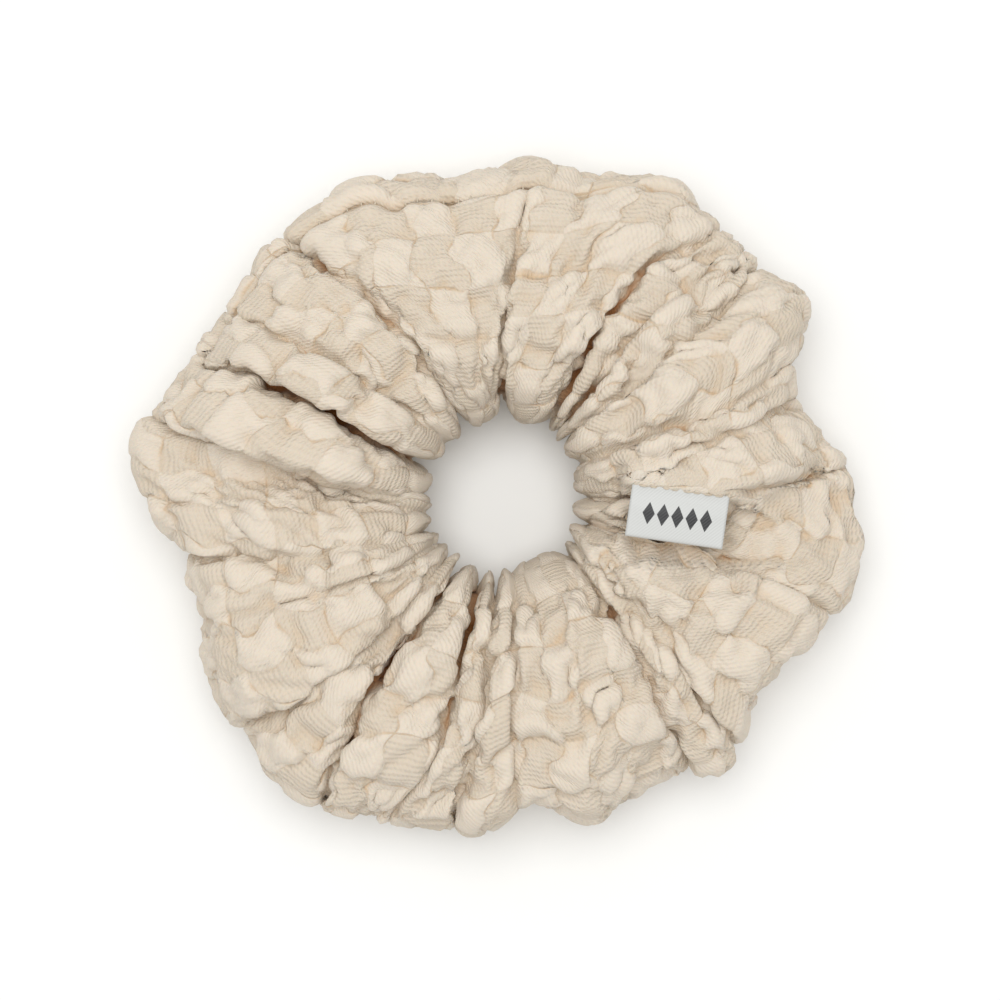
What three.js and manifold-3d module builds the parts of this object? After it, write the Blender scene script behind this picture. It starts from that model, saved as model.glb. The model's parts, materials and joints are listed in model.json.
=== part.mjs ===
// A gathered fabric scrunchie: a wide cloth tube gathered on a narrow elastic loop, with a folded
// woven label caught in its seam. Millimetres, +Z up. The origin is the middle of the outline, on the
// surface that the scrunchie lies on.
//
// The cover and the elastic are each one piece on the real object. Here both are cut at the plane
// through the middle of the hair opening, because a hand stretches it by pulling those sides apart.

import * as THREE from "three";
import { mergeVertices } from "three/addons/utils/BufferGeometryUtils.js";
import Module from "manifold-3d";

const wasm = await Module();
wasm.setup();

// ---- driving dimensions ----

const CLEARANCE = 0.3; // between any two pieces that touch
const MERGE_TOLERANCE = 1e-3; // vertices nearer than this are one

// The gathered cover.
const HOLE_RADIUS = 15.5; // the hair opening, between the innermost folds
const OUTER_RADIUS = 68; // the mean outline
const COVER_HEIGHT = 36; // crown of the gathers above the surface
const CLOTH_WALL = 1.4; // gathered cloth, a few plies thick
const FACETS_ROUND = 72;
const FACETS_SECTION = 20;
const OUTLINE_SAMPLES = 8; // of the outline's curve, for each facet

// The section's crown over its half height. Above 1, the underside is pressed flat where it lies.
const SECTION_BULGE = 1.12;

// Crowns and notches of the gathers round the outline: [degrees, how far past the mean outline].
const OUTLINE = [
  [2, 2], [18, -8], [35, 5], [47, 0], [62, 2], [75, -1.5], [86, 0.5], [104, -4],
  [117, 0.5], [134, 2], [153, -2], [173, 8], [195, -4], [213, 2], [230, 5], [247, 1.5],
  [264, 4], [276, -3.5], [286, 0], [297, -2.5], [311, 3], [324, -7], [339, 1], [349, 4],
];

// Folds that stand into the hair opening, and dips between the gathers along the crown.
const INNER_FOLDS = 9;
const INNER_FOLD_DEPTH = 0.8;
const CROWN_DIPS = 12;
const CROWN_DIP_DEPTH = 1.2;

// The seam that closes the tube. Its allowance stands inside the tube along the outer edge.
const SEAM_SHARE = 0.45; // height of the seam, as a share of the crown's
const ALLOWANCE_DEPTH = 6; // cloth past the stitching
const ALLOWANCE_PLIES = 1.2; // its two plies together
const THREAD_DIAMETER = 0.6;
const THREAD_SIDES = 6;
const THREAD_INSET = CLOTH_WALL + 3 * CLEARANCE + THREAD_DIAMETER; // from the cloth's outer face
const SEAM_THREAD_STEP = 5; // degrees

// Where the two ends of the tube are sewn together, with the elastic's own ends behind them.
const CLOSING_ANGLE = 160; // degrees
const CLOSING_STOP = 25; // how far short of the long seam the stitching stops, round the section
const CLOSING_STEPS = 24;

// The elastic loop: a flat braid whose ends overlap, in the tube's inner edge.
const ELASTIC_WIDTH = 6;
const ELASTIC_THICKNESS = 1.2;
const ELASTIC_EASE = 2.4; // between the braid and the closing stitches at the deepest fold
const ELASTIC_OVERLAP = 13; // length of the two ends that lie together
const ELASTIC_STEP = 6; // degrees
const TUCK_EASE = 60; // degrees over which the lower end eases in behind the upper one
const TACK_ZIGS = 7;
const TACK_MARGIN = 2; // from the tack to the ends and edges of the braid

// The label: a ribbon folded in half, with its two ends in the seam.
const LABEL_LENGTH = 19; // along the seam
const LABEL_DROP = 9; // from the stitching to the fold
const LABEL_PLY = 0.3;
const LABEL_GAP = 0.5; // between its two plies
const LABEL_TAIL = 2.6; // the part that is sewn down
const LABEL_PLACE = [34.4, -0.5]; // middle of its stitched edge, from the middle of the hair opening
const LABEL_TURN = -8; // degrees, of its stitched edge from +X
const LABEL_SLOPE = 6; // degrees, that it leans down towards its fold
const LABEL_FOLD_STEPS = 6;
const LABEL_STITCHES = 12;
const LABEL_STITCH_RISE = 0.2; // of every second one above its neighbours
const LABEL_EASE = 2 * CLEARANCE; // between the label and the highest cloth under it
const LABEL_PROBES = [10, 24]; // places tried under it, along the seam and down to the fold
// The gathers dip round the label. Depth, and the angle over which the dip fades.
const LABEL_DIP = 4;
const LABEL_DIP_AT = -9; // degrees
const LABEL_DIP_SPAN = 24; // degrees

// ---- shape of the ring, about the middle of the hair opening ----

const { degToRad, radToDeg, smoothstep } = THREE.MathUtils;
const FULL_TURN = 2 * Math.PI;

// The unit vector at an angle round the ring.
const towards = (angle) => new THREE.Vector3(Math.cos(angle), Math.sin(angle), 0);

const outlinePoints = new THREE.CatmullRomCurve3(
  OUTLINE.map(([at, reach]) => towards(degToRad(at)).multiplyScalar(OUTER_RADIUS + reach)),
  true,
  "centripetal",
).getSpacedPoints(FACETS_ROUND * OUTLINE_SAMPLES);

function outerRadius(angle) {
  const direction = towards(angle);
  const alignment = (point) => point.dot(direction) / point.length();
  return outlinePoints.reduce((best, p) => (alignment(p) > alignment(best) ? p : best)).length();
}

const innerRadius = (angle) => HOLE_RADIUS + INNER_FOLD_DEPTH * Math.sin(INNER_FOLDS * angle);

function crownHeight(angle) {
  const wave = Math.sin((CROWN_DIPS * angle) / 2) ** 2;
  const fromLabel = towards(angle).angleTo(towards(degToRad(LABEL_DIP_AT)));
  const fade = 1 - smoothstep(fromLabel, 0, degToRad(LABEL_DIP_SPAN));
  return COVER_HEIGHT - CROWN_DIP_DEPTH * wave - LABEL_DIP * fade;
}

// A point of the cover. across runs 0 to 1 from the hole to the outer edge, and up runs 0 to 1 from
// the surface to the crown. inset moves the whole section into the cloth.
function coverPoint(angle, across, up, inset = 0) {
  const inner = innerRadius(angle) + inset;
  const outer = outerRadius(angle) - inset;
  const point = towards(angle).multiplyScalar(inner + across * (outer - inner));
  return point.setZ(inset + up * (crownHeight(angle) - 2 * inset));
}

// The section at a turn round it, from 0 at the hole: an oval with a flat underside.
const acrossAt = (turn) => (1 - Math.cos(turn)) / 2;
const upAt = (turn) => Math.max(0, (SECTION_BULGE * Math.sin(turn) + 1) / (SECTION_BULGE + 1));

// Height of the cover's top over a place on the surface.
function coverTop(x, y) {
  const angle = Math.atan2(y, x);
  const inner = innerRadius(angle);
  const across = (Math.hypot(x, y) - inner) / (outerRadius(angle) - inner);
  return upAt(Math.acos(1 - 2 * across)) * crownHeight(angle);
}

// ---- solids ----

function solidOf(geometry) {
  const bare = geometry.index ? geometry.toNonIndexed() : geometry.clone();
  bare.deleteAttribute("normal");
  bare.deleteAttribute("uv");
  const merged = mergeVertices(bare, MERGE_TOLERANCE);
  return new wasm.Manifold(
    new wasm.Mesh({
      numProp: 3,
      vertProperties: merged.attributes.position.array,
      triVerts: new Uint32Array(merged.index.array),
    }),
  );
}

function geometryOf(solid) {
  const mesh = solid.getMesh();
  const geometry = new THREE.BufferGeometry();
  geometry.setAttribute("position", new THREE.BufferAttribute(mesh.vertProperties, 3));
  geometry.setIndex(new THREE.BufferAttribute(mesh.triVerts, 1));
  geometry.computeVertexNormals();
  return geometry;
}

// Moves each vertex of a geometry to where place(vertex) puts it.
function reshape(geometry, place) {
  const position = geometry.attributes.position;
  const vertex = new THREE.Vector3();
  for (let i = 0; i < position.count; i++) {
    const moved = place(vertex.fromBufferAttribute(position, i));
    position.setXYZ(i, moved.x, moved.y, moved.z);
  }
  return geometry;
}

// A closed section swept round the ring. profile holds [radius, height] pairs, clockwise, and
// place(angle, radius, height) gives each one's point at an angle.
function sweptRing(profile, place) {
  const points = [...profile, profile[0]].map(([radius, height]) => new THREE.Vector2(radius, height));
  const lathe = new THREE.LatheGeometry(points, FACETS_ROUND);
  return solidOf(reshape(lathe, (v) => place(Math.atan2(v.x, v.z), Math.hypot(v.x, v.z), v.y)));
}

function coverSkin(inset) {
  const profile = [];
  for (let i = 0; i < FACETS_SECTION; i++) {
    const turn = (-i / FACETS_SECTION) * FULL_TURN;
    profile.push([1 + acrossAt(turn), upAt(turn)]);
  }
  return sweptRing(profile, (angle, radius, up) => coverPoint(angle, radius - 1, up, inset));
}

// The seam's allowance, from inside the cloth to its raw edges. Its profile is in millimetres from
// the outer edge, past a distance that keeps the lathe's radii positive.
function seamAllowance() {
  const far = 4 * ALLOWANCE_DEPTH;
  const [raw, rooted] = [far - CLOTH_WALL - ALLOWANCE_DEPTH, far - CLOTH_WALL / 2];
  const half = ALLOWANCE_PLIES / 2;
  const profile = [[raw, -half], [rooted, -half], [rooted, half], [raw, half]];
  return sweptRing(profile, (angle, radius, height) => {
    const point = towards(angle).multiplyScalar(outerRadius(angle) - far + radius);
    return point.setZ(SEAM_SHARE * crownHeight(angle) + height);
  });
}

// A thread along points, with one step for each.
function threadAlong(points) {
  const section = new THREE.Shape();
  section.absarc(0, 0, THREAD_DIAMETER / 2, 0, FULL_TURN);
  return new THREE.ExtrudeGeometry(section, {
    extrudePath: new THREE.CatmullRomCurve3(points),
    curveSegments: THREAD_SIDES / 2,
    steps: points.length - 1,
    bevelEnabled: false,
  });
}

// Everything on one side of the plane that parts the two sides. side is 1 for +X and -1 for -X.
function sideOf(side) {
  const reach = 2 * OUTER_RADIUS;
  const box = new THREE.BoxGeometry(reach, 2 * reach, 2 * reach);
  return solidOf(box.translate(side * (reach + CLEARANCE) / 2, 0, 0));
}

// ---- materials ----

const matte = (color, roughness) => new THREE.MeshStandardMaterial({ color, roughness, metalness: 0 });
const CLOTH = matte(0xeadfce, 0.9);
const THREAD = matte(0xe6d8c3, 0.75);
const BRAID = matte(0xf3efe8, 0.8);
const SATIN = matte(0xf4f4f2, 0.45);

const scrunchie = new THREE.Group();

function add(name, geometry, material, parent = scrunchie) {
  const mesh = new THREE.Mesh(geometry, material);
  mesh.name = name;
  parent.add(mesh);
}

// ---- cover: a gathered tube with its seam allowance inside ----

const cavity = coverSkin(CLOTH_WALL).subtract(seamAllowance());
const cover = coverSkin(0).subtract(cavity);
add("cover_left", geometryOf(cover.intersect(sideOf(-1))), CLOTH);
add("cover_right", geometryOf(cover.intersect(sideOf(1))), CLOTH);

// ---- long seam's thread, on the allowance, just inside the cloth ----

function seamThread(from, to) {
  const rise = (ALLOWANCE_PLIES + THREAD_DIAMETER) / 2 + CLEARANCE;
  const steps = Math.round((to - from) / SEAM_THREAD_STEP);
  const points = [];
  for (let i = 0; i <= steps; i++) {
    const angle = degToRad(from + ((to - from) * i) / steps);
    const point = towards(angle).multiplyScalar(outerRadius(angle) - THREAD_INSET);
    points.push(point.setZ(SEAM_SHARE * crownHeight(angle) + rise));
  }
  return threadAlong(points);
}
const threadStop = radToDeg((THREAD_DIAMETER + CLEARANCE) / OUTER_RADIUS);
add("long_seam_thread_left", seamThread(90 + threadStop, 270 - threadStop), THREAD);
add("long_seam_thread_right", seamThread(-90 + threadStop, 90 - threadStop), THREAD);

// ---- closing seam's thread, round the inside of the tube ----

const closingPoints = [];
for (let i = 0; i <= CLOSING_STEPS; i++) {
  const stop = degToRad(CLOSING_STOP);
  const turn = Math.PI + stop + (i / CLOSING_STEPS) * (FULL_TURN - 2 * stop);
  closingPoints.push(coverPoint(degToRad(CLOSING_ANGLE), acrossAt(turn), upAt(turn), THREAD_INSET));
}
add("closing_seam_thread", threadAlong(closingPoints), THREAD);

// ---- elastic loop, in three lengths: the right side, and the two ends that overlap on the left ----

const elasticHeight = COVER_HEIGHT / (SECTION_BULGE + 1);
const lap = ELASTIC_THICKNESS + CLEARANCE; // from one end's middle line to the other's
const innermost = HOLE_RADIUS + INNER_FOLD_DEPTH + THREAD_INSET + THREAD_DIAMETER / 2 + ELASTIC_EASE;
const elasticRadius = innermost + ELASTIC_THICKNESS / 2 + lap;

// A length of the braid from one angle to another, in degrees. radiusAt gives its middle line.
function braid(from, to, radiusAt) {
  const steps = Math.round((to - from) / ELASTIC_STEP);
  const strip = new THREE.BoxGeometry(1, ELASTIC_THICKNESS, ELASTIC_WIDTH, steps, 1, 1);
  return reshape(strip, (v) => {
    const angle = degToRad(from + (v.x + 0.5) * (to - from));
    return towards(angle).multiplyScalar(radiusAt(angle) - v.y).setZ(elasticHeight + v.z);
  });
}

const halfLap = radToDeg(ELASTIC_OVERLAP / elasticRadius / 2);
const elasticStop = radToDeg(CLEARANCE / 2 / (elasticRadius - ELASTIC_THICKNESS));
const level = () => elasticRadius;
const tucked = (angle) => {
  const from = CLOSING_ANGLE + halfLap;
  return elasticRadius - lap * (1 - smoothstep(radToDeg(angle), from, from + TUCK_EASE));
};
add("elastic_right", braid(-90 + elasticStop, 90 - elasticStop, level), BRAID);
add("elastic_left_upper", braid(90 + elasticStop, CLOSING_ANGLE + halfLap, level), BRAID);
add("elastic_left_lower", braid(CLOSING_ANGLE - halfLap, 270 - elasticStop, tucked), BRAID);

// The zigzag that holds the two ends together, on the outer face.
const tackPoints = [];
for (let i = 0; i <= TACK_ZIGS; i++) {
  const reach = ELASTIC_OVERLAP / 2 - TACK_MARGIN;
  const along = -reach + (2 * reach * i) / TACK_ZIGS;
  const rise = (i % 2 ? 1 : -1) * (ELASTIC_WIDTH / 2 - TACK_MARGIN / 2);
  const outwards = elasticRadius + ELASTIC_THICKNESS / 2 + CLEARANCE + THREAD_DIAMETER;
  const angle = degToRad(CLOSING_ANGLE) + along / outwards;
  tackPoints.push(towards(angle).multiplyScalar(outwards).setZ(elasticHeight + rise));
}
add("elastic_join_thread", threadAlong(tackPoints), THREAD);

// ---- label, in its own frame: X along the stitched edge, -Y to the fold, Z out of the cloth ----

const labelThickness = 2 * LABEL_PLY + LABEL_GAP;
// The tab's corners turn about the stitched edge, so the sewn tail keeps clear of that circle.
const tabStart = labelThickness / 2;
const tailStart = Math.hypot(tabStart, labelThickness / 2) + CLEARANCE;

// The label's lowest place: its underside clears the cover all over its outline.
function labelSeat() {
  const turned = degToRad(LABEL_TURN);
  const slope = Math.tan(degToRad(LABEL_SLOPE));
  let seat = 0;
  const [probesAlong, probesDown] = LABEL_PROBES;
  const sewnEdge = -tailStart - LABEL_TAIL;
  for (let i = 0; i <= probesAlong; i++) {
    for (let j = 0; j <= probesDown; j++) {
      const along = (i / probesAlong - 0.5) * LABEL_LENGTH;
      const down = sewnEdge + (j / probesDown) * (LABEL_DROP - sewnEdge);
      const place = new THREE.Vector3(along, -down, 0);
      place.applyAxisAngle(new THREE.Vector3(0, 0, 1), turned);
      const top = coverTop(LABEL_PLACE[0] + place.x, LABEL_PLACE[1] + place.y);
      seat = Math.max(seat, top + slope * down);
    }
  }
  return seat + labelThickness / 2 + LABEL_EASE;
}

const label = new THREE.Group();
label.position.set(...LABEL_PLACE, labelSeat());
label.rotation.set(degToRad(LABEL_SLOPE), 0, degToRad(LABEL_TURN), "ZYX");
scrunchie.add(label);

// A shape drawn with its X along the label's drop and its Y out of the cloth, as wide as the label.
function ribbon(shape) {
  const solid = new THREE.ExtrudeGeometry(shape, {
    depth: LABEL_LENGTH,
    curveSegments: LABEL_FOLD_STEPS,
    bevelEnabled: false,
  });
  solid.translate(0, 0, -LABEL_LENGTH / 2);
  return solid.rotateY(-Math.PI / 2).rotateX(Math.PI / 2);
}

// The tab: two plies joined by the fold.
const outerFold = labelThickness / 2;
const innerFold = LABEL_GAP / 2;
const foldAt = LABEL_DROP - outerFold;
const tabShape = new THREE.Shape();
tabShape.moveTo(tabStart, outerFold);
tabShape.lineTo(foldAt, outerFold);
tabShape.absarc(foldAt, 0, outerFold, Math.PI / 2, -Math.PI / 2, true);
tabShape.lineTo(tabStart, -outerFold);
tabShape.lineTo(tabStart, -innerFold);
tabShape.lineTo(foldAt, -innerFold);
tabShape.absarc(foldAt, 0, innerFold, -Math.PI / 2, Math.PI / 2, false);
tabShape.lineTo(tabStart, innerFold);
tabShape.closePath();
add("label_tab", ribbon(tabShape), SATIN, label);

// The two ends, sewn flat together.
const tailShape = new THREE.Shape();
tailShape.moveTo(-tailStart, -LABEL_PLY);
tailShape.lineTo(-tailStart, LABEL_PLY);
tailShape.lineTo(-tailStart - LABEL_TAIL, LABEL_PLY);
tailShape.lineTo(-tailStart - LABEL_TAIL, -LABEL_PLY);
tailShape.closePath();
add("label_sewn_ends", ribbon(tailShape), SATIN, label);

// The row of stitches over them, a thread that rises and dips a little.
const labelStitches = [];
for (let i = 0; i <= LABEL_STITCHES; i++) {
  const along = (i / LABEL_STITCHES - 0.5) * (LABEL_LENGTH - 2 * THREAD_DIAMETER);
  const rise = LABEL_PLY + CLEARANCE + THREAD_DIAMETER / 2 + (i % 2) * LABEL_STITCH_RISE;
  labelStitches.push(new THREE.Vector3(along, tailStart + LABEL_TAIL / 2, rise));
}
add("label_thread", threadAlong(labelStitches), THREAD, label);

// ---- origin: the middle of the outline, on the surface ----

const outline = new THREE.Box3().setFromObject(scrunchie);
const middle = outline.getCenter(new THREE.Vector3());
scrunchie.position.set(-middle.x, -middle.y, -outline.min.z);

export default scrunchie;
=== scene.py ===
import json
import math

import bpy
import numpy as np
from bpy.props import FloatProperty, FloatVectorProperty, PointerProperty
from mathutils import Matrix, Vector
from mathutils.bvhtree import BVHTree


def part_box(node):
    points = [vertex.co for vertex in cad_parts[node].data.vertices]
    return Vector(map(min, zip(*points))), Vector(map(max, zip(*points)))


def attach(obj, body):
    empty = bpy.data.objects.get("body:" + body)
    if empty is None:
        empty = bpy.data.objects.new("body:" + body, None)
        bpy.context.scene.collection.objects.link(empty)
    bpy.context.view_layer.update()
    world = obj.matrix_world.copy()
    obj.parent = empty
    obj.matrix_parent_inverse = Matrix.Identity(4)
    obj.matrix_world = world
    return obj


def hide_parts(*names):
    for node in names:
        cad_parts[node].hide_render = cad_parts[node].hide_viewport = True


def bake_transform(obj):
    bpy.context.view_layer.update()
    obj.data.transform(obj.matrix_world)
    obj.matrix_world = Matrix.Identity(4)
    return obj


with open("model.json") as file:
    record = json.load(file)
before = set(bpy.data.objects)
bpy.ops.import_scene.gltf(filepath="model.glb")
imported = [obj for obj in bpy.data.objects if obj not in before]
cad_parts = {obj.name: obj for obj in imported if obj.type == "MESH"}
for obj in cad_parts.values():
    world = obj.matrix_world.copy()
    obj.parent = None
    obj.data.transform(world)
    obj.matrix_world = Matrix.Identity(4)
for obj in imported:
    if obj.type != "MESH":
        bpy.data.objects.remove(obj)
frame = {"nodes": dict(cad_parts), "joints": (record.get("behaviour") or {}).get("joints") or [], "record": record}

bl_info = {
    "name": "Gathered Scrunchie",
    "version": (1, 0, 0),
    "blender": (4, 5, 0),
    "location": "View3D > Sidebar > Scrunchie",
    "description": "Makes a gathered fabric scrunchie with its elastic, seams and label",
    "category": "Add Mesh",
}

MM = 0.001
TURN = 2 * math.pi
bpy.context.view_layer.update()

# ---- what the frame says ----


def hair_opening():
    """The middle of the hair opening in plan, in metres, from the record's opening box."""
    low, high = frame["record"]["physics"]["openings"][0]["box_m"]
    return np.array([(low[0] + high[0]) / 2, (low[1] + high[1]) / 2])


def points_of(mesh):
    """A mesh's vertices as an array of points."""
    points = np.zeros(len(mesh.vertices) * 3)
    mesh.vertices.foreach_get("co", points)
    return points.reshape(-1, 3)


def mesh_points(node):
    """A CAD node's vertices as an array of points."""
    return points_of(frame["nodes"][node].data)


MIDDLE = hair_opening()
OUTLINE_STEP = 5  # degrees between the frame's own facets


def frame_outline():
    """How far the frame's cover reaches from the middle, and how high, every OUTLINE_STEP degrees.

    The cover's points are sorted by angle, and each facet's largest radius and height are kept.
    """
    points = np.vstack([mesh_points("cover_left"), mesh_points("cover_right")])
    offset = points[:, :2] - MIDDLE
    angle = np.degrees(np.arctan2(offset[:, 1], offset[:, 0])) % 360
    facet = np.round(angle / OUTLINE_STEP).astype(int) % (360 // OUTLINE_STEP)
    near = np.abs((angle - facet * OUTLINE_STEP + 180) % 360 - 180) < 0.3
    radius = np.zeros(360 // OUTLINE_STEP)
    height = np.zeros(360 // OUTLINE_STEP)
    np.maximum.at(radius, facet[near], np.hypot(*offset[near].T))
    np.maximum.at(height, facet[near], points[near, 2])
    return radius, height


REACH, CROWN = frame_outline()


def plan_angle(node):
    """The angle in degrees, in plan, of the middle of a CAD node's box about the hair opening."""
    low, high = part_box(node)
    x, y = (low[0] + high[0]) / 2 - MIDDLE[0], (low[1] + high[1]) / 2 - MIDDLE[1]
    return math.degrees(math.atan2(y, x)) % 360


CLOSING_ANGLE = plan_angle("closing_seam_thread")  # where the strip's two ends are sewn together


def elastic_section():
    """The elastic's middle radius and height in the frame, and its half thickness and half width."""
    offset = mesh_points("elastic_right") - np.append(MIDDLE, 0)
    radius, height = np.hypot(offset[:, 0], offset[:, 1]), offset[:, 2]
    middle = [(v.max() + v.min()) / 2 for v in (radius, height)]
    return *middle, ((radius.max() - radius.min()) / 2, (height.max() - height.min()) / 2)


ELASTIC_RADIUS, ELASTIC_HEIGHT, ELASTIC_HALF = elastic_section()
ELASTIC_ROOM = 2.6 * MM  # from the elastic's surface to the cloth

# ---- curves ----


def unit(vectors):
    """Vectors along the last axis, each divided by its length."""
    return vectors / np.maximum(np.linalg.norm(vectors, axis=-1, keepdims=True), 1e-12)


def ramp(value, start, end):
    """0 before start, 1 after end, and 3t^2 - 2t^3 between them."""
    t = np.clip((value - start) / (end - start), 0, 1)
    return t * t * (3 - 2 * t)


def catmull_rom(a, b, c, d, t):
    """The cubic from b to c at t from 0 to 1, whose slope at each is half the step past it."""
    return b + 0.5 * t * (c - a + t * (2 * a - 5 * b + 4 * c - d + t * (3 * (b - c) + d - a)))


def periodic(values, at):
    """A closed Catmull-Rom curve through values, read at positions counted in values."""
    i = np.floor(at).astype(int)
    t = (at - i).reshape(i.shape + (1,) * (values.ndim - 1))
    return catmull_rom(*(values[(i + k) % len(values)] for k in (-1, 0, 1, 2)), t)


# ---- the gathers ----

# Each row is the valley between two gathers: its angle in degrees at the hair opening, half way out
# and at the outer edge, and its depth in millimetres at the same places. Then, of the gather that
# follows it, how far it lies below the others half way out, and how far it leans over its own end.
GATHERS = [
    (-2, 0, 4, 5, 5, 2, 0, 1),
    (12, 14, 18, 1.5, 1.5, 2.5, -1, 1),
    (22, 20, 25, 5, 2.5, 1, -0.5, 3),
    (42, 39, 41, 9, 10, 4, 1, 0),
    (49, 49, 46, 7, 4, 1, 4, 0),
    (56, 59, 51, 8, 7, 3, 0, 1),
    (90, 88, 84, 8, 5, 0.1, 0, 1),
    (119, 123, 131, 6, 9, 3, 1, 0),
    (138, 142, 146, 3, 4, 1.5, -1, 3),
    (158, 153, 156, 8, 11, 4, -3.5, 4),
    (180, 170, 168, 4, 8, 2, 8, -2),
    (192, 184, 181, 3, 3, 1, 1, 2),
    (206, 197, 191, 5, 8, 3, 0, 0),
    (216, 208, 203, 3, 2.5, 1, 0, 3),
    (228, 227, 222, 6, 7, 3, 2, 1),
    (238, 236, 239, 8, 11, 4, 0, 1),
    (254, 256, 251, 8, 6, 0.8, 1, 1),
    (266, 263.5, 262, 10, 11, 5, 0.5, 0),
    (275, 273, 272, 4, 3, 1.5, -1, 2),
    (319, 309, 305, 8, 10, 4, 3, 0),
    (327, 318, 313, 6, 8, 2, -0.5, -2),
    (341, 343, 340, 6, 4, 3, 2, 0),
]

HOLE = 13.9 * MM  # the innermost folds, from the middle of the hair opening
# How far the cloth's outer edge reaches past the frame's cover, in millimetres, by angle.
EDGE_PAST = [
    (0, -2), (15, 1), (30, 0), (40, -4), (50, 1.5), (70, -0.5), (90, -3.5),
    (105, 1), (122, 0), (140, -2.5), (155, 0), (175, -3.5), (195, 0.5), (208, -1),
    (225, -2.5), (240, 2), (260, -4.5), (285, -0.5), (308, -3), (325, 3.5), (345, 1),
]
BULGE = 1.12  # the section's crown over its half height; above 1, it is pressed flat underneath
FLATNESS = 0.55  # of a gather's top: 1 would make it round
UNDER_SWAY = 6  # degrees by which the valleys wander underneath, half way out
UNDER_DEPTH = 0.8  # of a valley underneath, over its depth on top
LEAST_DEPTH = 0.15  # of a valley, in millimetres
RIPPLE = 0.8 * MM  # of the cloth before it is simulated
ROWS, COLUMNS = 54, 228  # of the simulated cloth, round the section and round the ring


def through(hole, middle, edge, out):
    """The parabola with these three values at 0, a half and 1, read at out."""
    return hole * (1 - out) * (1 - 2 * out) + middle * 4 * out * (1 - out) + edge * out * (2 * out - 1)


def section(rows):
    """The section's outline as equally spaced rows: out 0 to 1 from hole to edge, up 0 to 1, and normals.

    out is (1 + cos a) / 2 and up is (BULGE sin a + 1) / (BULGE + 1), not below 0. Row 0 is the outer
    edge, and the rows go over the top to the hole and back underneath.
    """
    a = np.linspace(0, TURN, 4001)
    out = (1 + np.cos(a)) / 2
    up = np.maximum(0, (BULGE * np.sin(a) + 1) / (BULGE + 1))
    width, height = REACH.mean() - HOLE, CROWN.mean()
    length = np.concatenate([[0], np.cumsum(np.hypot(np.diff(out) * width, np.diff(up) * height))])
    at = np.interp(np.arange(rows) / rows * length[-1], length, a)
    out = np.interp(at, a, out)
    up = np.interp(at, a, up)
    across = (np.roll(out, -1) - np.roll(out, 1)) * width
    rise = (np.roll(up, -1) - np.roll(up, 1)) * height
    long = np.hypot(across, rise)
    return out, up, rise / long, -across / long


def by_angle(pairs, theta):
    """Pairs of an angle in degrees and a value, read as a smooth curve at angles in degrees."""
    angles, values = np.array(pairs, float).T
    every = np.interp(np.arange(0, 360, OUTLINE_STEP), angles, values, period=360)
    return periodic(every, theta % 360 / OUTLINE_STEP)


def fold_noise(u, v, rng, waves, low, high):
    """Smooth noise that closes on itself both ways: a sum of sines of whole numbers of waves."""
    total = np.zeros(np.broadcast(u, v).shape)
    for _ in range(waves):
        round_ring, round_section = rng.integers(low, high, 2) * rng.choice([-1, 1], 2)
        total += np.sin(TURN * (round_ring * u + round_section * v) + rng.uniform(0, TURN))
    return total / math.sqrt(waves)


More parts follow.
